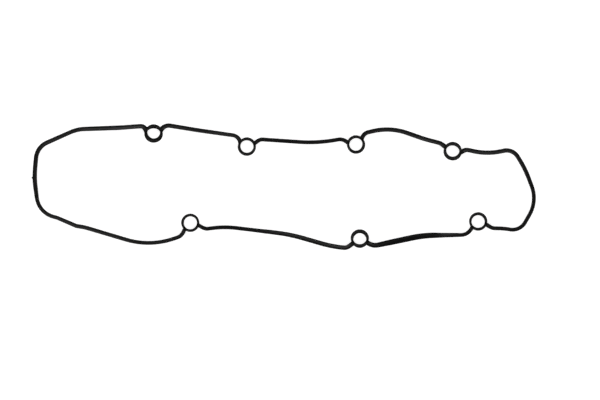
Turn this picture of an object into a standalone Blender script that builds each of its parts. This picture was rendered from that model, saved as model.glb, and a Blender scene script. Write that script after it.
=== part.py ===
"""A valve cover gasket: one moulded rubber bead that runs round the cover's rim,
with seven bolt eyelets in it. It lies free, so the bead leans over in places."""

import math

import bmesh
import bpy
from mathutils import Matrix, Vector
from mathutils.kdtree import KDTree

MM = 0.001

# The loop, measured between the middles of its beads
LOOP_LENGTH = 450 * MM
LOOP_WIDTH = 112 * MM

# The bead's section, the same on both sealing faces
HEIGHT = 5.2 * MM
BEAD_WIDTH = 3.4 * MM
CREST_WIDTH = 1.8 * MM
SHOULDER_DEPTH = 0.9 * MM
FLASH = 0.1 * MM

# The bolt eyelets
HOLE_DIAMETER = 11.9 * MM
EYELET_WALL = 2.2 * MM
EYELET_CREST = 1.2 * MM
EYELET_SHOULDER_DEPTH = 0.6 * MM
EYELET_PROUD = 0.1 * MM

# The moulding nib on the outer side of the left end
NIB_RADIUS = 0.7 * MM
NIB_HEIGHT = 1.8 * MM
NIB_REACH = 0.8 * MM
NIB_RUN = 0
NIB_SHARE_OF_RUN = 0.46

# How finely bends, rings and shoulders are divided
BEND_STEP = math.radians(12)
STATION_GAP = 12 * MM
EYELET_STEPS = 28
SHOULDER_STEPS = 2
CARRIER_GAP = 0.5 * MM
MERGE_DISTANCE = 0.001 * MM

RUBBER_COLOUR = (0.013, 0.0125, 0.012, 1)
RUBBER_ROUGHNESS = 0.55

# The loop goes round anticlockwise seen from above, so its outside is on the right.
# Places are per cent of half the loop's length in x and of half its width in y, all
# other lengths here are per cent of half its width, and angles are degrees from +X.
# Lean is how far the crest tips outwards. Each way into or out of an eyelet is the
# joint's angle round the ring, then the bead's first corner: its angle round the ring,
# its distance past the wall's middle, and the radius of the bend there.
EYELETS = [
    {
        "centre": (-52.2, 84.7), "lean": -26,
        "way_in": (24, 40, 9.8, 14), "way_out": (162, 139, 6.6, 9),
    },
    {
        "centre": (-37.6, -58.2), "lean": -5,
        "way_in": (-132, -124, 13.4, 16), "way_out": (-21, -22, 13.6, 12),
    },
    {
        "centre": (30.1, -83.2), "lean": -20,
        "way_in": (-145, -143.5, 13.2, 14), "way_out": (-28, -32.5, 10.9, 21),
    },
    {
        "centre": (77.4, -56), "lean": -9,
        "way_in": (-135, -130, 15.5, 18), "way_out": (-25, -25, 13.2, 16),
    },
    {
        "centre": (67.2, 56.7), "lean": -20,
        "way_in": (-9, 7, 9.1, 11), "way_out": (151, 147.5, 10.9, 18),
    },
    {
        "centre": (28.6, 67.5), "lean": -10,
        "way_in": (44, 55, 9.5, 14), "way_out": (168, 158, 11.6, 16),
    },
    {
        "centre": (-15, 64.1), "lean": -10,
        "way_in": (23, 28.5, 12, 12), "way_out": (148, 128.5, 9.1, 14),
    },
]

# The run of bead from each eyelet to the next: its other corners, as x, y and the radius
# of the bend, and its lean at places evenly spaced between the two eyelets.
RUNS = [
    {
        "corners": [
            (-65.1, 94.6, 143), (-82.9, 92, 62), (-98.9, 63.4, 30),
            (-100, 14.3, 143), (-98.2, -42, 36), (-90.9, -50, 5),
            (-83.1, -63.4, 7), (-80, -65.2, 107), (-54, -96.4, 125),
        ],
        "leans": (-16, -12, -17, -18, -2, 6, 3, 1),
    },
    {"corners": [(-24, -64.3, 152), (2.2, -76.8, 268), (19.1, -96.4, 205)], "leans": (-3, -13, -16)},
    {"corners": [(55.3, -78.6, 188)], "leans": (-33, -44, -41, -18, -7)},
    {
        "corners": [
            (87.1, -67, 116), (94.2, -71.4, 23), (101.1, -23.2, 54),
            (96.2, 28.6, 170), (91.3, 60.7, 21), (81.1, 51.8, 107),
        ],
        "leans": (-4, -7, -14, -10),
    },
    {"corners": [(56.2, 75.9, 223), (42.4, 95.5, 98)], "leans": (-14, -10)},
    {"corners": [(13.3, 69.6, 241)], "leans": (0, 0)},
    {"corners": [(-34.2, 90.2, 348)], "leans": (-7, -8)},
]

HALF_LENGTH = LOOP_LENGTH / 2
HALF_WIDTH = LOOP_WIDTH / 2
HALF_HEIGHT = HEIGHT / 2
HOLE_RADIUS = HOLE_DIAMETER / 2
EYELET_RADIUS = HOLE_RADIUS + EYELET_WALL
WALL_MIDDLE = HOLE_RADIUS + EYELET_WALL / 2
EYELET_SHOULDER = (EYELET_WALL - EYELET_CREST) / 2


def clear_scene():
    for thing in list(bpy.data.objects):
        bpy.data.objects.remove(thing)


def rubber_material():
    material = bpy.data.materials.new("moulded_rubber")
    material.use_nodes = True
    shader = material.node_tree.nodes["Principled BSDF"]
    shader.inputs["Base Color"].default_value = RUBBER_COLOUR
    shader.inputs["Roughness"].default_value = RUBBER_ROUGHNESS
    shader.inputs["Metallic"].default_value = 0
    return material


def polar(degrees, distance):
    angle = math.radians(degrees)
    return Vector((math.cos(angle), math.sin(angle))) * distance


def across_loop(per_cent):
    return HALF_WIDTH * per_cent / 100


def in_plan(x, y):
    return Vector((HALF_LENGTH * x / 100, across_loop(y)))


def eyelet_centre(eyelet):
    return in_plan(*eyelet["centre"])


def joint_and_corner(eyelet, way):
    """Where the bead meets the middle of the ring's wall, and its first corner from there."""
    joint_angle, corner_angle, reach, radius = eyelet[way]
    centre = eyelet_centre(eyelet)
    corner = centre + polar(corner_angle, WALL_MIDDLE + across_loop(reach))
    return centre + polar(joint_angle, WALL_MIDDLE), (corner, across_loop(radius))


def setback(before, corner, after, radius):
    """How far before its corner a bend starts."""
    half = (before - corner).angle(after - corner) / 2
    return radius / math.tan(half)


def fitted_setbacks(points, radii):
    """Each bend's setback. Two bends that don't fit on the straight between them share it."""
    setbacks = [0.0] * len(points)
    for i in range(1, len(points) - 1):
        setbacks[i] = setback(*points[i - 1:i + 2], radii[i])
    shares = [1.0] * len(points)
    for i in range(len(points) - 1):
        straight = (points[i + 1] - points[i]).length
        wanted = setbacks[i] + setbacks[i + 1]
        share = min(1, straight / wanted)
        shares[i] = min(shares[i], share)
        shares[i + 1] = min(shares[i + 1], share)
    return [length * share for length, share in zip(setbacks, shares)]


def bend(before, corner, after, length):
    """Stations round one bend, each a point and the way the bead runs there."""
    into = (corner - before).normalized()
    out = (after - corner).normalized()
    turn = -into.angle_signed(out)
    start = corner - into * length
    radius = length / math.tan(abs(turn) / 2)
    side = math.copysign(1, turn)
    middle = start + Vector((-into.y, into.x)) * radius * side
    steps = max(1, math.ceil(abs(turn) / BEND_STEP), math.ceil(abs(turn) * radius / STATION_GAP))
    stations = []
    for i in range(steps + 1):
        turned = Matrix.Rotation(turn * i / steps, 2)
        stations.append((middle + turned @ (start - middle), turned @ into))
    return stations


def route(number):
    """The stations of one run of bead, from the middle of one ring's wall to the next."""
    first, last = EYELETS[number], EYELETS[(number + 1) % len(EYELETS)]
    start, first_corner = joint_and_corner(first, "way_out")
    end, last_corner = joint_and_corner(last, "way_in")
    corners = [(in_plan(x, y), across_loop(radius)) for x, y, radius in RUNS[number]["corners"]]
    corners = [first_corner, *corners, last_corner]
    points = [start, *(point for point, _ in corners), end]
    setbacks = fitted_setbacks(points, [0, *(radius for _, radius in corners), 0])
    stations = [(start, (points[1] - start).normalized())]
    for i in range(1, len(points) - 1):
        arc = bend(*points[i - 1:i + 2], setbacks[i])
        stations += straight_between(stations[-1], arc[0]) + arc
    stations += straight_between(stations[-1], (end, None))
    return stations + [(end, (end - points[-2]).normalized())]


def straight_between(last, following):
    """Stations along a straight stretch, without its two ends."""
    gap = following[0] - last[0]
    steps = max(1, math.ceil(gap.length / STATION_GAP))
    return [(last[0] + gap * i / steps, last[1]) for i in range(1, steps)]


def shoulder(outer, crest_width, top, depth):
    """One rounded shoulder as (across, up), from the crest's edge down to the side."""
    width = outer - crest_width
    points = []
    for i in range(SHOULDER_STEPS + 1):
        angle = math.pi / 2 * i / SHOULDER_STEPS
        points.append((crest_width + width * math.sin(angle), top - depth * (1 - math.cos(angle))))
    return points


def mirrored(points):
    return [(across, -up) for across, up in reversed(points)]


def bead_section():
    """The bead's section as (outwards, up) from its middle, anticlockwise."""
    upper = shoulder(BEAD_WIDTH / 2, CREST_WIDTH / 2, HALF_HEIGHT, SHOULDER_DEPTH)
    side = upper + [(BEAD_WIDTH / 2 + FLASH, 0)] + mirrored(upper)
    return side[::-1] + [(-across, up) for across, up in side]


def eyelet_section():
    """The ring's section as (radius, up), anticlockwise. It stands a little proud of the bead."""
    top = HALF_HEIGHT + EYELET_PROUD
    outer = shoulder(EYELET_RADIUS, EYELET_RADIUS - EYELET_SHOULDER, top, EYELET_SHOULDER_DEPTH)
    inner = shoulder(HOLE_RADIUS, HOLE_RADIUS + EYELET_SHOULDER, top, EYELET_SHOULDER_DEPTH)
    return mirrored(outer)[::-1] + outer[::-1] + inner + mirrored(inner)


def add_ring(mesh, points):
    return [mesh.verts.new(point) for point in points]


def add_sides(mesh, rings, closed):
    """Faces between neighbouring rings of points."""
    following = rings[1:] + rings[:1] if closed else rings[1:]
    for ring, after in zip(rings, following):
        for i in range(len(ring)):
            j = (i + 1) % len(ring)
            mesh.faces.new((ring[i], ring[j], after[j], after[i]))


def add_bead(mesh, stations):
    rings = []
    for point, ahead in stations:
        outwards = Vector((ahead.y, -ahead.x))
        rings.append(add_ring(mesh, [
            (*(point + outwards * across), HALF_HEIGHT + up) for across, up in bead_section()
        ]))
    add_sides(mesh, rings, closed=False)
    mesh.faces.new(rings[0][::-1])
    mesh.faces.new(rings[-1])


def add_eyelet(mesh, centre):
    rings = []
    for i in range(EYELET_STEPS):
        angle = 360 * i / EYELET_STEPS
        rings.append(add_ring(mesh, [
            (*(centre + polar(angle, radius)), HALF_HEIGHT + up) for radius, up in eyelet_section()
        ]))
    add_sides(mesh, rings, closed=True)


def add_post(mesh, centre, radius, height):
    """An upright post about the bead's mid height."""
    place = Matrix.Translation((*centre, HALF_HEIGHT))
    bmesh.ops.create_cone(mesh, cap_ends=True, segments=EYELET_STEPS, radius1=radius, radius2=radius,
                          depth=height, matrix=place)


def make_object(name, mesh, helper=False):
    bmesh.ops.recalc_face_normals(mesh, faces=mesh.faces)
    data = bpy.data.meshes.new(name)
    mesh.to_mesh(data)
    mesh.free()
    made = bpy.data.objects.new(name, data)
    bpy.context.collection.objects.link(made)
    made.hide_render = helper
    if helper:
        made.display_type = "WIRE"
    return made


def combine(target, other, operation):
    """Cut the other object from the target, or join it on."""
    modifier = target.modifiers.new(other.name, "BOOLEAN")
    modifier.operation = operation
    modifier.solver = "EXACT"
    modifier.object = other


def nib_centre(stations):
    """The nib's post stands in the bead's outer side, and reaches out of it a little."""
    point, ahead = stations[round(NIB_SHARE_OF_RUN * (len(stations) - 1))]
    outwards = Vector((ahead.y, -ahead.x))
    return point + outwards * (BEAD_WIDTH / 2 + NIB_REACH - NIB_RADIUS)


def flat_gasket(routes):
    """The gasket as it leaves the mould, before it leans: beads, eyelets and nib in one."""
    beads, posts, eyelets, nib = (bmesh.new() for _ in range(4))
    for stations in routes:
        add_bead(beads, stations)
    for eyelet in EYELETS:
        add_post(posts, eyelet_centre(eyelet), WALL_MIDDLE, 2 * HEIGHT)
        add_eyelet(eyelets, eyelet_centre(eyelet))
    add_post(nib, nib_centre(routes[NIB_RUN]), NIB_RADIUS, NIB_HEIGHT)
    gasket = make_object("gasket", beads)
    combine(gasket, make_object("bead_ends", posts, helper=True), "DIFFERENCE")
    combine(gasket, make_object("eyelets", eyelets, helper=True), "UNION")
    combine(gasket, make_object("moulding_nib", nib, helper=True), "UNION")
    return gasket


def apply_modifiers(target):
    bpy.context.view_layer.update()
    graph = bpy.context.evaluated_depsgraph_get()
    result = bpy.data.meshes.new_from_object(target.evaluated_get(graph))
    target.modifiers.clear()
    target.data = result


def drop(section, lean):
    """How far a section's lowest point sinks as it leans about its mid height."""
    lowest = min(up * math.cos(lean) + outwards * math.sin(-lean) for outwards, up in section)
    return -lowest - HALF_HEIGHT


def eyelet_reach(number):
    """The ring's section as seen from the line between its two joints, (outwards, up)."""
    eyelet = EYELETS[number]
    into, _ = joint_and_corner(eyelet, "way_in")
    out, _ = joint_and_corner(eyelet, "way_out")
    ahead = (out - into).normalized()
    middle = (eyelet_centre(eyelet) - into).dot(Vector((ahead.y, -ahead.x)))
    section = eyelet_section()
    return [(middle + side * radius, up) for radius, up in section for side in (-1, 1)]


def eased(values, share):
    """A smooth value between evenly spaced ones."""
    place = share * (len(values) - 1)
    before = min(int(place), len(values) - 2)
    part = place - before
    part = part * part * (3 - 2 * part)
    return values[before] * (1 - part) + values[before + 1] * part


def lean_and_lift(number, share):
    """The lean and lift of one run of bead at a share of its length."""
    following = (number + 1) % len(EYELETS)
    leans = [EYELETS[number]["lean"], *RUNS[number]["leans"], EYELETS[following]["lean"]]
    leans = [math.radians(lean) for lean in leans]
    lifts = [drop(bead_section(), lean) for lean in leans]
    lifts[0] = drop(eyelet_reach(number), leans[0])
    lifts[-1] = drop(eyelet_reach(following), leans[-1])
    lean = eased(leans, share)
    return lean, max(eased(lifts, share), drop(bead_section(), lean))


def spaced(points, gap):
    """Points at an even gap along a line of points, and each one's share of its length."""
    lengths = [0.0]
    for before, after in zip(points, points[1:]):
        lengths.append(lengths[-1] + (after - before).length)
    count = max(2, math.ceil(lengths[-1] / gap))
    found = []
    piece = 0
    for i in range(count):
        share = i / count
        while lengths[piece + 1] < share * lengths[-1]:
            piece += 1
        part = (share * lengths[-1] - lengths[piece]) / (lengths[piece + 1] - lengths[piece])
        found.append((points[piece].lerp(points[piece + 1], part), share))
    return found


def carrier(routes):
    """The closed line that the lean turns about: along each run, then straight across
    the next eyelet from joint to joint. Each entry is a point, a lean and a lift."""
    line = []
    for number, stations in enumerate(routes):
        points = [point for point, _ in stations]
        for point, share in spaced(points, CARRIER_GAP):
            line.append((point, *lean_and_lift(number, share)))
        following = routes[(number + 1) % len(routes)][0][0]
        for point, _ in spaced([points[-1], following], CARRIER_GAP):
            line.append((point, *lean_and_lift(number, 1)))
    return line


def lean_over(data, routes):
    """Lean the rubber over as it lies, each place about its own stretch of the carrier."""
    line = carrier(routes)
    reach = round(EYELET_RADIUS / CARRIER_GAP)
    tree = KDTree(len(line))
    for i, (point, _, _) in enumerate(line):
        tree.insert((*point, 0), i)
    tree.balance()
    for vertex in data.vertices:
        _, nearest, _ = tree.find((vertex.co.x, vertex.co.y, 0))
        point, lean, lift = line[nearest]
        if lean == lift == 0:
            continue
        ahead = line[(nearest + reach) % len(line)][0] - line[nearest - reach][0]
        middle = Vector((*point, HALF_HEIGHT))
        turned = Matrix.Rotation(lean, 3, (*ahead, 0))
        vertex.co = middle + turned @ (vertex.co - middle) + Vector((0, 0, lift))


def tidy(data):
    """Triangles only, so that every facet is flat once the rubber leans."""
    mesh = bmesh.new()
    mesh.from_mesh(data)
    bmesh.ops.remove_doubles(mesh, verts=mesh.verts, dist=MERGE_DISTANCE)
    bmesh.ops.dissolve_degenerate(mesh, edges=mesh.edges, dist=MERGE_DISTANCE)
    bmesh.ops.triangulate(mesh, faces=mesh.faces)
    mesh.to_mesh(data)
    mesh.free()


def centre_in_plan(data):
    """Put the origin under the middle of the gasket's length and width."""
    for axis in range(2):
        places = [vertex.co[axis] for vertex in data.vertices]
        middle = (min(places) + max(places)) / 2
        for vertex in data.vertices:
            vertex.co[axis] -= middle


def main():
    clear_scene()
    routes = [route(number) for number in range(len(RUNS))]
    gasket = flat_gasket(routes)
    apply_modifiers(gasket)
    tidy(gasket.data)
    lean_over(gasket.data, routes)
    centre_in_plan(gasket.data)
    gasket.data.shade_smooth()
    gasket.data.materials.clear()
    gasket.data.materials.append(rubber_material())


main()
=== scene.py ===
import math

import bmesh
import bpy
from mathutils import Matrix, Vector
from mathutils.kdtree import KDTree


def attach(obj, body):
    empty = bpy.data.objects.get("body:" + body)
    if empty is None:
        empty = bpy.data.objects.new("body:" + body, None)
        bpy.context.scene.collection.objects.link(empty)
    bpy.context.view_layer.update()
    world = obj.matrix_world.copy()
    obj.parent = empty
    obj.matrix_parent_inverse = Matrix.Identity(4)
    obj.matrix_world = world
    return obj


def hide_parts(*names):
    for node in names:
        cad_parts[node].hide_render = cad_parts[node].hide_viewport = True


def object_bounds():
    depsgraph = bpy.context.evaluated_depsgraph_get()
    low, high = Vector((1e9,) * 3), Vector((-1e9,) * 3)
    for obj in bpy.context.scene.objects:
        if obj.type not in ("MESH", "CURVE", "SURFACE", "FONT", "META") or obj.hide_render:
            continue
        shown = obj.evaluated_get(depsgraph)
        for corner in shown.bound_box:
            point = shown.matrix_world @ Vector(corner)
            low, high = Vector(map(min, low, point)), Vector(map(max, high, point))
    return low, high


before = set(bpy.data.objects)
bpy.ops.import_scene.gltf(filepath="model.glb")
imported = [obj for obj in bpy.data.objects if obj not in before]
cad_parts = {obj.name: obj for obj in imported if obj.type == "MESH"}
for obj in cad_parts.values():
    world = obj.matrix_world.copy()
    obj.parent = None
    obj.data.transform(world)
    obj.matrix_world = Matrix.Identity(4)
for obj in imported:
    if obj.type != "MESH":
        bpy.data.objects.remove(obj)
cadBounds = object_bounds()

# the one piece is a loop of moulded rubber that lies loose on the table, in metres and degrees
loopShape = {
    "length": 0.450,          # between the middles of the beads at the two ends
    "width": 0.112,
    "height": 0.0052,
    "settleLength": 0.008,    # of bead beside a ring, over which its lean turns to the run's
    "fallLength": 0.036,      # of bead beside a tipped ring, over which it comes down to the table
}

# places are per cent of half the length in x and of half the width in y, the other lengths
# per cent of half the width; a way in or out is the joint's angle round the ring, then the
# next corner's angle, its distance from the middle of the wall and its bend radius
eyelets = [
    {
        "centre": (-52.2, 84.7), "lean": -26,
        "wayIn": (24, 40, 9.8, 14), "wayOut": (162, 139, 6.6, 9),
    },
    {
        "centre": (-37.6, -58.2), "lean": -5,
        "wayIn": (-132, -124, 13.4, 16), "wayOut": (-16, -22.5, 13.5, 15),
    },
    {
        "centre": (30.1, -83.2), "lean": -20,
        "wayIn": (-145, -143.5, 13.2, 14), "wayOut": (-28, -32.5, 10.9, 21),
    },
    {
        "centre": (77.4, -56), "lean": -9,
        "wayIn": (-135, -130, 15.5, 18), "wayOut": (-20, -25.5, 13.2, 16),
    },
    {
        "centre": (67.2, 56.7), "lean": -20,
        "wayIn": (-9, 7, 9.1, 11), "wayOut": (150, 147, 11.2, 18),
    },
    {
        "centre": (28.6, 67.5), "lean": -10,
        "wayIn": (44, 55, 9.5, 14), "wayOut": (168, 158, 11.6, 16),
    },
    {
        "centre": (-15, 64.1), "lean": -10,
        "wayIn": (23, 28.5, 12, 12), "wayOut": (148, 128.5, 9.1, 14),
    },
]

# each run of bead to the next eyelet: its corners as x, y, bend radius, and its leans
# from beside the one ring to beside the other; a negative lean tips the crest inwards
runs = [
    {
        "corners": [
            (-65.1, 94.6, 143), (-82.9, 92, 62), (-98.9, 63.4, 30),
            (-100, 14.3, 143), (-98.2, -42, 36), (-90.9, -50, 5),
            (-83.1, -63.4, 7), (-80, -65.2, 107), (-54, -96.4, 125),
        ],
        "leans": (-14, -16, -11, -16, -17, -1, 6, 4, 2, -1),
    },
    {
        "corners": [(-24, -64.3, 152), (2.2, -76.8, 268), (19.1, -96.4, 205)],
        "leans": (-1, 0, -12, -17, -15),
    },
    {"corners": [(55.3, -78.6, 188)], "leans": (-22, -42, -47, -36, -13, 0)},
    {
        "corners": [
            (87.1, -67, 116), (94.2, -71.4, 23), (101.1, -23.2, 54),
            (96.2, 28.6, 170), (91.3, 60.7, 21), (81.1, 51.8, 107),
        ],
        "leans": (0, -5, -7, -13, -12, -12),
    },
    {"corners": [(56.2, 75.9, 223), (42.4, 95.5, 98)], "leans": (-12, -14, -12, -10)},
    {"corners": [(13.3, 69.6, 241)], "leans": (-2, -2, -5)},
    {"corners": [(-34.2, 90.2, 348)], "leans": (-4, -8, -9, -13)},
]

bead = {
    "width": 0.0034,
    "crest": 0.0018,            # the flat between the rounded shoulders
    "shoulderDepth": 0.0009,
    "shoulderSteps": 6,
    "faceEdge": 0.00027,        # this far below the crest the smooth sealing face ends
    "flash": 0.0001,            # the parting line at mid height
    "flashHalf": 0.00012,
    "stationGap": 0.004,        # the most between two sections of the sweep
    "bendStep": math.radians(4),
    "lineGap": 0.0005,          # between the points of the line that the lean turns about
}

eyeletRing = {
    "hole": 0.0119,
    "wall": 0.0022,
    "crest": 0.0012,
    "shoulderDepth": 0.0006,
    "proud": 0.0001,            # of the bead's crest, on both sides
    "steps": 84,
    # the web's patch is painted darker as shade where bead and ring meet, besides being matt
    "web": 0.00308,             # the matt patch round each joint with the bead
}

# the mould's mark on the outer side of the left end, its place a share of its run's length
nib = {"radius": 0.0009, "height": 0.0024, "reach": 0.001, "run": 0, "share": 0.435}

mergeGap = 1e-7
halfHeight = loopShape["height"] / 2
wallMiddle = eyeletRing["hole"] / 2 + eyeletRing["wall"] / 2
ringRadius = eyeletRing["hole"] / 2 + eyeletRing["wall"]


def polar(degrees, distance):
    angle = math.radians(degrees)
    return Vector((math.cos(angle), math.sin(angle), 0)) * distance


def acrossLoop(perCent):
    return loopShape["width"] / 2 * perCent / 100


def inPlan(x, y):
    return Vector((loopShape["length"] / 2 * x / 100, acrossLoop(y), 0))


def jointAndCorner(eyelet, way):
    jointAngle, cornerAngle, reach, radius = eyelet[way]
    centre = inPlan(*eyelet["centre"])
    corner = centre + polar(cornerAngle, wallMiddle + acrossLoop(reach))
    return centre + polar(jointAngle, wallMiddle), (corner, acrossLoop(radius))


# a run's route is straights, with round bends at its corners
def fittedSetbacks(points, radii):
    # how far before its corner each bend starts; two that don't fit share the straight
    setbacks = [0.0] * len(points)
    for i in range(1, len(points) - 1):
        half = (points[i - 1] - points[i]).angle(points[i + 1] - points[i]) / 2
        setbacks[i] = radii[i] / math.tan(half)
    shares = [1.0] * len(points)
    for i in range(len(points) - 1):
        share = min(1, (points[i + 1] - points[i]).length / (setbacks[i] + setbacks[i + 1]))
        shares[i] = min(shares[i], share)
        shares[i + 1] = min(shares[i + 1], share)
    return [length * share for length, share in zip(setbacks, shares)]


def routeOf(number):
    # the start, the first direction, the bends (each its start, middle and turn) and the end
    start, firstCorner = jointAndCorner(eyelets[number], "wayOut")
    end, lastCorner = jointAndCorner(eyelets[(number + 1) % len(eyelets)], "wayIn")
    corners = [(inPlan(x, y), acrossLoop(radius)) for x, y, radius in runs[number]["corners"]]
    corners = [firstCorner, *corners, lastCorner]
    points = [start, *(point for point, _ in corners), end]
    setbacks = fittedSetbacks(points, [0, *(radius for _, radius in corners), 0])
    bends = []
    for i in range(1, len(points) - 1):
        into = (points[i] - points[i - 1]).normalized()
        out = (points[i + 1] - points[i]).normalized()
        turn = math.copysign(into.angle(out), into.cross(out).z)
        bendStart = points[i] - into * setbacks[i]
        radius = setbacks[i] / math.tan(turn / 2)     # negative where it turns right
        bends.append((bendStart, bendStart + Vector((-into.y, into.x, 0)) * radius, turn))
    return start, (points[1] - start).normalized(), bends, end


def swung(bendStart, middle, turn):
    return middle + Matrix.Rotation(turn, 3, "Z") @ (bendStart - middle)


def linePoints(route):
    start, _, bends, end = route
    points = [start]
    for bendStart, middle, turn in bends:
        steps = max(1, math.ceil(abs(turn) * (bendStart - middle).length / bead["lineGap"]))
        points += [swung(bendStart, middle, turn * i / steps) for i in range(steps + 1)]
    return points + [end]


def spaced(points):
    # points at an even gap along a line, with their share of its length
    lengths = [0.0]
    for before, after in zip(points, points[1:]):
        lengths.append(lengths[-1] + (after - before).length)
    count = max(2, math.ceil(lengths[-1] / bead["lineGap"]))
    found, piece = [], 0
    for i in range(count):
        share = i / count
        while lengths[piece + 1] < share * lengths[-1]:
            piece += 1
        part = (share * lengths[-1] - lengths[piece]) / (lengths[piece + 1] - lengths[piece])
        found.append((points[piece].lerp(points[piece + 1], part), share))
    return found


# sections are points as (outwards, up) from mid height
def shoulder(outer, crest, top, depth):
    # from the crest's edge down to the side
    points = []
    for i in range(bead["shoulderSteps"] + 1):
        angle = math.pi / 2 * i / bead["shoulderSteps"]
        across = crest + (outer - crest) * math.sin(angle)
        points.append((across, top - depth * (1 - math.cos(angle))))
    return points


def mirrored(points):
    return [(across, -up) for across, up in reversed(points)]


def beadSection():
    side = bead["width"] / 2
    upper = shoulder(side, bead["crest"] / 2, halfHeight, bead["shoulderDepth"])
    flash = [(side, bead["flashHalf"]), (side + bead["flash"], 0), (side, -bead["flashHalf"])]
    right = upper + flash + mirrored(upper)
    return right[::-1] + [(-across, up) for across, up in right]


def ringSection():
    hole = eyeletRing["hole"] / 2
    slope = (eyeletRing["wall"] - eyeletRing["crest"]) / 2
    top = halfHeight + eyeletRing["proud"]
    outer = shoulder(ringRadius, ringRadius - slope, top, eyeletRing["shoulderDepth"])
    inner = shoulder(hole, hole + slope, top, eyeletRing["shoulderDepth"])
    return mirrored(outer)[::-1] + outer[::-1] + inner + mirrored(inner)


# the parts of the moulding, before they are joined
def drawSection(mesh, section, place, outwards):
    verts = []
    for across, up in section:
        verts.append(mesh.verts.new(place + outwards * across + Vector((0, 0, halfHeight + up))))
    return [mesh.edges.new((verts[i - 1], verts[i])) for i in range(len(verts))]


def pullAlong(mesh, edges, distance):
    steps = max(1, math.ceil(distance.length / bead["stationGap"]))
    for i in range(steps):
        pulled = bmesh.ops.extrude_edge_only(mesh, edges=edges)["geom"]
        verts = [part for part in pulled if isinstance(part, bmesh.types.BMVert)]
        bmesh.ops.translate(mesh, verts=verts, vec=distance / steps)
        edges = [part for part in pulled if isinstance(part, bmesh.types.BMEdge)]
    return edges


def swingRound(mesh, edges, middle, turn, radius):
    steps = math.ceil(max(abs(turn) / bead["bendStep"], abs(turn) * radius / bead["stationGap"]))
    turned = bmesh.ops.spin(mesh, geom=edges, cent=middle, axis=(0, 0, 1), dvec=(0, 0, 0),
                            angle=turn, steps=steps, use_merge=False, use_duplicate=False)
    return [part for part in turned["geom_last"] if isinstance(part, bmesh.types.BMEdge)]


def sweepBead(mesh, route):
    start, ahead, bends, end = route
    edges = drawSection(mesh, beadSection(), start, Vector((ahead.y, -ahead.x, 0)))
    bmesh.ops.edgeloop_fill(mesh, edges=edges)
    here = start
    for bendStart, middle, turn in bends:
        edges = pullAlong(mesh, edges, bendStart - here)
        edges = swingRound(mesh, edges, middle, turn, (bendStart - middle).length)
        here = swung(bendStart, middle, turn)
    edges = pullAlong(mesh, edges, end - here)
    bmesh.ops.edgeloop_fill(mesh, edges=edges)


def spinRing(mesh, centre):
    edges = drawSection(mesh, ringSection(), centre, Vector((1, 0, 0)))
    bmesh.ops.spin(mesh, geom=edges, cent=centre, axis=(0, 0, 1), dvec=(0, 0, 0),
                   angle=math.tau, steps=eyeletRing["steps"], use_merge=True, use_duplicate=False)


def addPost(mesh, centre, radius, height):
    place = Matrix.Translation(centre + Vector((0, 0, halfHeight)))
    bmesh.ops.create_cone(mesh, cap_ends=True, segments=eyeletRing["steps"], radius1=radius,
                          radius2=radius, depth=height, matrix=place)


def addNib(mesh, routes):
    line = spaced(linePoints(routes[nib["run"]]))
    at = round(nib["share"] * len(line))
    ahead = (line[at + 1][0] - line[at - 1][0]).normalized()
    outwards = Vector((ahead.y, -ahead.x, 0)) * (bead["width"] / 2 + nib["reach"] - nib["radius"])
    addPost(mesh, line[at][0] + outwards, nib["radius"], nib["height"])


def makeObject(name, mesh):
    bmesh.ops.remove_doubles(mesh, verts=mesh.verts, dist=mergeGap)
    bmesh.ops.recalc_face_normals(mesh, faces=mesh.faces)
    data = bpy.data.meshes.new(name)
    mesh.to_mesh(data)
    mesh.free()
    made = bpy.data.objects.new(name, data)
    bpy.context.collection.objects.link(made)
    return made


def joinPieces(target, others):
    # the others come as (object, operation), applied in order
    for other, operation in others:
        join = target.modifiers.new(other.name, "BOOLEAN")
        join.operation = operation
        join.solver = "EXACT"
        join.object = other
    bpy.context.view_layer.update()
    graph = bpy.context.evaluated_depsgraph_get()
    joined = bpy.data.meshes.new_from_object(target.evaluated_get(graph))
    target.modifiers.clear()
    target.data = joined
    for other, _ in others:
        bpy.data.objects.remove(other)


# the loose rubber leans over here and there, and each place of it rests on the table
def drop(section, lean):
    # how far a section's lowest point sinks as it leans about its mid height
    lowest = min(up * math.cos(lean) - outwards * math.sin(lean) for outwards, up in section)
    return -lowest - halfHeight


def ringReach(number):
    # the ring's section as seen from the line between its two joints
    into, _ = jointAndCorner(eyelets[number], "wayIn")
    out, _ = jointAndCorner(eyelets[number], "wayOut")
    ahead = (out - into).normalized()
    middle = (inPlan(*eyelets[number]["centre"]) - into).dot(Vector((ahead.y, -ahead.x, 0)))
    return [(middle + side * radius, up) for radius, up in ringSection() for side in (-1, 1)]


def eased(places, values, share):
    # from value to value, and level at each place
    after = next((i for i in range(1, len(places)) if share < places[i]), len(places) - 1)
    part = min(1, (share - places[after - 1]) / (places[after] - places[after - 1]))
    part = part * part * (3 - 2 * part)
    return values[after - 1] * (1 - part) + values[after] * part


def leanAndLift(number, share, length):
    following = (number + 1) % len(eyelets)
    leans = [eyelets[number]["lean"], *runs[number]["leans"], eyelets[following]["lean"]]
    leans = [math.radians(lean) for lean in leans]
    settled = loopShape["settleLength"] / length
    gaps = len(runs[number]["leans"]) - 1
    places = [0, *(settled + (1 - 2 * settled) * i / gaps for i in range(gaps + 1)), 1]
    lean = eased(places, leans, share)
    fallen = min(0.5, loopShape["fallLength"] / length)
    lifts = (drop(ringReach(number), leans[0]), 0, 0, drop(ringReach(following), leans[-1]))
    lift = eased((0, fallen, 1 - fallen, 1), lifts, share)
    return lean, max(lift, drop(beadSection(), lean))


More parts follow.
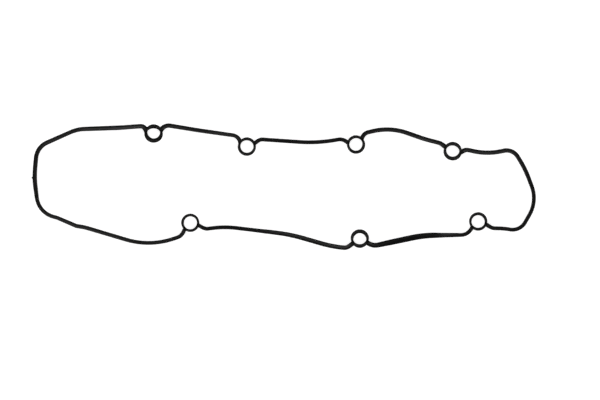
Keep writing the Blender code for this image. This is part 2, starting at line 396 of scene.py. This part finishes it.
def carrierLine(routes):
    # the closed line that the lean turns about, with the lean and lift at each point
    line = []
    for number, route in enumerate(routes):
        points = spaced(linePoints(route))
        length = len(points) * bead["lineGap"]
        for point, share in points:
            line.append((point, *leanAndLift(number, share, length)))
        for point, _ in spaced([route[3], routes[(number + 1) % len(routes)][0]]):
            line.append((point, *leanAndLift(number, 1, length)))
    return line


def leanOver(data, routes):
    line = carrierLine(routes)
    reach = round(ringRadius / bead["lineGap"])
    tree = KDTree(len(line))
    for i, (point, _, _) in enumerate(line):
        tree.insert(point, i)
    tree.balance()
    for vertex in data.vertices:
        _, nearest, _ = tree.find((vertex.co.x, vertex.co.y, 0))
        point, lean, lift = line[nearest]
        ahead = line[(nearest + reach) % len(line)][0] - line[nearest - reach][0]
        middle = point + Vector((0, 0, halfHeight))
        turned = Matrix.Rotation(lean, 3, ahead)
        vertex.co = middle + turned @ (vertex.co - middle) + Vector((0, 0, lift))


def markFlanks(data, routes):
    # for the material: 0 on the sealing faces, 1 down the sides and where bead and ring meet,
    # which are painted darker as shade and made matt
    joints = [end for route in routes for end in (route[0], route[3])]
    flank = data.attributes.new("flank", "FLOAT", "POINT")
    for vertex, mark in zip(data.vertices, flank.data):
        fromCrest = halfHeight - abs(vertex.co.z - halfHeight)
        fromJoint = min((vertex.co.xy - joint.xy).length for joint in joints)
        atJoint = (eyeletRing["web"] - fromJoint) / eyeletRing["wall"]
        mark.value = min(1, max(0, fromCrest / bead["faceEdge"], atJoint))


def moveToFrame(data):
    # the right end and the upper side lie where the frame has them
    for axis in range(2):
        shift = cadBounds[1][axis] - max(vertex.co[axis] for vertex in data.vertices)
        for vertex in data.vertices:
            vertex.co[axis] += shift


def moulding():
    routes = [routeOf(number) for number in range(len(runs))]
    beads, posts, rings, nibPost = (bmesh.new() for _ in range(4))
    for route in routes:
        sweepBead(beads, route)
    for eyelet in eyelets:
        addPost(posts, inPlan(*eyelet["centre"]), wallMiddle, 2 * loopShape["height"])
        spinRing(rings, inPlan(*eyelet["centre"]))
    addNib(nibPost, routes)
    made = makeObject("mouldedRubber", beads)
    print("beads swept:", len(made.data.polygons), "faces")
    joinPieces(made, [
        (makeObject("beadEnds", posts), "DIFFERENCE"),
        (makeObject("rings", rings), "UNION"),
        (makeObject("nibPost", nibPost), "UNION"),
    ])
    print("eyelets and nib joined:", len(made.data.polygons), "faces")
    markFlanks(made.data, routes)
    leanOver(made.data, routes)
    moveToFrame(made.data)
    print("leaned over and laid on the table")
    return made


# black rubber: the sealing faces come smooth from the mould and the sides are matt; the faces'
# colour is painted paler as a highlight and the sides' darker as painted shade, and both carry a
# paler bloom in patches and specks of dust; each pair is bare, then bloomed
rubber = {
    # painted highlight and shade: the faces' colours are paler, the sides' colours darker
    "face": ((0.004, 0.0039, 0.0037, 1), (0.009, 0.0089, 0.0085, 1)),
    "side": ((0.0012, 0.0012, 0.0011, 1), (0.003, 0.003, 0.0028, 1)),
    "faceRoughness": 0.2,
    "sideRoughness": 1,
    "specular": 0.125,
    "patchSize": 0.011,
    "patchDetail": 5,
    "patchEdges": (0.35, 0.7),    # of the noise, where the bloom begins and where it is full
    "speck": (0.035, 0.034, 0.031, 1),
    "speckSize": 0.0005,
    "speckDetail": 1,
    "speckEdges": (0.68, 0.74),
    "grainSize": 0.0004,          # of the mould's spark-eroded surface
    "grainDetail": 3,
    "grainHeight": 0.00002,
    "grainStrength": 0.6,
}


def noise(nodes, links, coords, size, detail):
    texture = nodes.new("ShaderNodeTexNoise")
    texture.inputs["Scale"].default_value = 1 / size
    texture.inputs["Detail"].default_value = detail
    links.new(coords.outputs["Object"], texture.inputs["Vector"])
    return texture.outputs["Fac"]


def between(nodes, links, value, edges):
    # 0 below the first edge, 1 above the second
    spread = nodes.new("ShaderNodeMapRange")
    spread.inputs["From Min"].default_value = edges[0]
    spread.inputs["From Max"].default_value = edges[1]
    links.new(value, spread.inputs["Value"])
    return spread.outputs["Result"]


def mixed(nodes, links, share, first, second):
    # a colour that turns from first to second as share goes from 0 to 1
    mix = nodes.new("ShaderNodeMix")
    mix.data_type = "RGBA"
    links.new(share, mix.inputs["Factor"])
    sockets = [socket for socket in mix.inputs if socket.type == "RGBA"]
    for socket, colour in zip(sockets, (first, second)):
        if isinstance(colour, tuple):
            socket.default_value = colour
        else:
            links.new(colour, socket)
    return next(socket for socket in mix.outputs if socket.type == "RGBA")


def rubberMaterial():
    material = bpy.data.materials.new("mouldedRubber")
    material.use_nodes = True
    nodes, links = material.node_tree.nodes, material.node_tree.links
    shader = nodes["Principled BSDF"]
    shader.inputs["Metallic"].default_value = 0
    shader.inputs["Specular IOR Level"].default_value = rubber["specular"]
    coords = nodes.new("ShaderNodeTexCoord")
    flank = nodes.new("ShaderNodeAttribute")
    flank.attribute_name = "flank"
    patches = noise(nodes, links, coords, rubber["patchSize"], rubber["patchDetail"])
    patches = between(nodes, links, patches, rubber["patchEdges"])
    specks = noise(nodes, links, coords, rubber["speckSize"], rubber["speckDetail"])
    specks = between(nodes, links, specks, rubber["speckEdges"])
    face = mixed(nodes, links, patches, *rubber["face"])
    side = mixed(nodes, links, patches, *rubber["side"])
    # painted highlight on the sealing faces, painted shade down the sides and round the joints
    bloomWithPaintedLightAndShade = mixed(nodes, links, flank.outputs["Fac"], face, side)
    links.new(mixed(nodes, links, specks, bloomWithPaintedLightAndShade, rubber["speck"]), shader.inputs["Base Color"])
    matt = nodes.new("ShaderNodeMapRange")
    matt.inputs["To Min"].default_value = rubber["faceRoughness"]
    matt.inputs["To Max"].default_value = rubber["sideRoughness"]
    links.new(flank.outputs["Fac"], matt.inputs["Value"])
    links.new(matt.outputs["Result"], shader.inputs["Roughness"])
    grain = noise(nodes, links, coords, rubber["grainSize"], rubber["grainDetail"])
    bump = nodes.new("ShaderNodeBump")
    bump.inputs["Strength"].default_value = rubber["grainStrength"]
    bump.inputs["Distance"].default_value = rubber["grainHeight"]
    links.new(grain, bump.inputs["Height"])
    links.new(bump.outputs["Normal"], shader.inputs["Normal"])
    return material


# the table, the light and the camera
studio = {
    "middle": (0.01432, -0.0119),      # the point of the table under the camera
    "cameraHeight": 3.2,
    "clipEnd": 20,
    "pixel": 0.0008993,                # of the picture, on the rubber's mid height
    "imageWidth": 600,                 # pixels
    "sensorWidth": 36,                 # millimetres
    "floorSize": 6.0,
    "floorColour": (0.8, 0.8, 0.8, 1),
    "floorRoughness": 0.9,
    "floorSpecular": 0.1,
    "floorGlow": 0.7,                  # for the camera and in reflections, not on the rubber
    "skyLevel": 0.1,
    "lampSize": (0.5, 1.8),
    "lampReach": (0.8, 0.62, 0.5, 0.62),    # from the middle: right, up, left, down
    "lampHeight": 1.2,
    "lampPower": 5,
}


def makeFloor():
    mesh = bmesh.new()
    bmesh.ops.create_grid(mesh, x_segments=1, y_segments=1, size=studio["floorSize"] / 2)
    floor = makeObject("floor", mesh)
    material = bpy.data.materials.new("paleTable")
    material.use_nodes = True
    nodes, links = material.node_tree.nodes, material.node_tree.links
    shader = nodes["Principled BSDF"]
    shader.inputs["Base Color"].default_value = studio["floorColour"]
    shader.inputs["Roughness"].default_value = studio["floorRoughness"]
    shader.inputs["Specular IOR Level"].default_value = studio["floorSpecular"]
    shader.inputs["Emission Color"].default_value = (1, 1, 1, 1)
    path = nodes.new("ShaderNodeLightPath")
    seen = path.outputs["Is Camera Ray"]
    for ray in ("Is Glossy Ray", "Is Transmission Ray"):
        either = nodes.new("ShaderNodeMath")
        either.operation = "MAXIMUM"
        links.new(seen, either.inputs[0])
        links.new(path.outputs[ray], either.inputs[1])
        seen = either.outputs[0]
    glow = nodes.new("ShaderNodeMath")
    glow.operation = "MULTIPLY"
    glow.inputs[1].default_value = studio["floorGlow"]
    links.new(seen, glow.inputs[0])
    links.new(glow.outputs[0], shader.inputs["Emission Strength"])
    floor.data.materials.append(material)


def makeSky():
    world = bpy.data.worlds.new("softSky")
    world.use_nodes = True
    background = world.node_tree.nodes["Background"]
    background.inputs["Color"].default_value = (1, 1, 1, 1)
    background.inputs["Strength"].default_value = studio["skyLevel"]
    bpy.context.scene.world = world


def makeLamps():
    # four long softboxes round the table, each turned to its middle
    for i, reach in enumerate(studio["lampReach"]):
        lamp = bpy.data.lights.new("softbox", "AREA")
        lamp.shape = "RECTANGLE"
        lamp.size, lamp.size_y = studio["lampSize"]
        lamp.energy = studio["lampPower"]
        holder = bpy.data.objects.new("softbox", lamp)
        holder.location = polar(90 * i, reach) + Vector((0, 0, studio["lampHeight"]))
        tilt = math.atan2(reach, studio["lampHeight"])
        holder.rotation_euler = (0, tilt, math.radians(90 * i))
        bpy.context.collection.objects.link(holder)


def makeCamera():
    # straight above, so that a pixel of the picture has its size on the rubber
    view = bpy.data.cameras.new("camera")
    view.sensor_width = studio["sensorWidth"]
    seenWidth = studio["imageWidth"] * studio["pixel"]
    view.lens = studio["sensorWidth"] * (studio["cameraHeight"] - halfHeight) / seenWidth
    view.clip_end = studio["clipEnd"]
    camera = bpy.data.objects.new("camera", view)
    camera.location = (*studio["middle"], studio["cameraHeight"])
    bpy.context.collection.objects.link(camera)
    bpy.context.scene.camera = camera


gasket = moulding()
gasket.data.materials.clear()
gasket.data.materials.append(rubberMaterial())
gasket.data.shade_smooth()
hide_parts("gasket")
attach(gasket, "root")
print("gasket done:", len(gasket.data.polygons), "faces")

makeFloor()
makeSky()
makeLamps()
makeCamera()
bpy.context.scene.view_settings.view_transform = "Standard"
print("studio done")
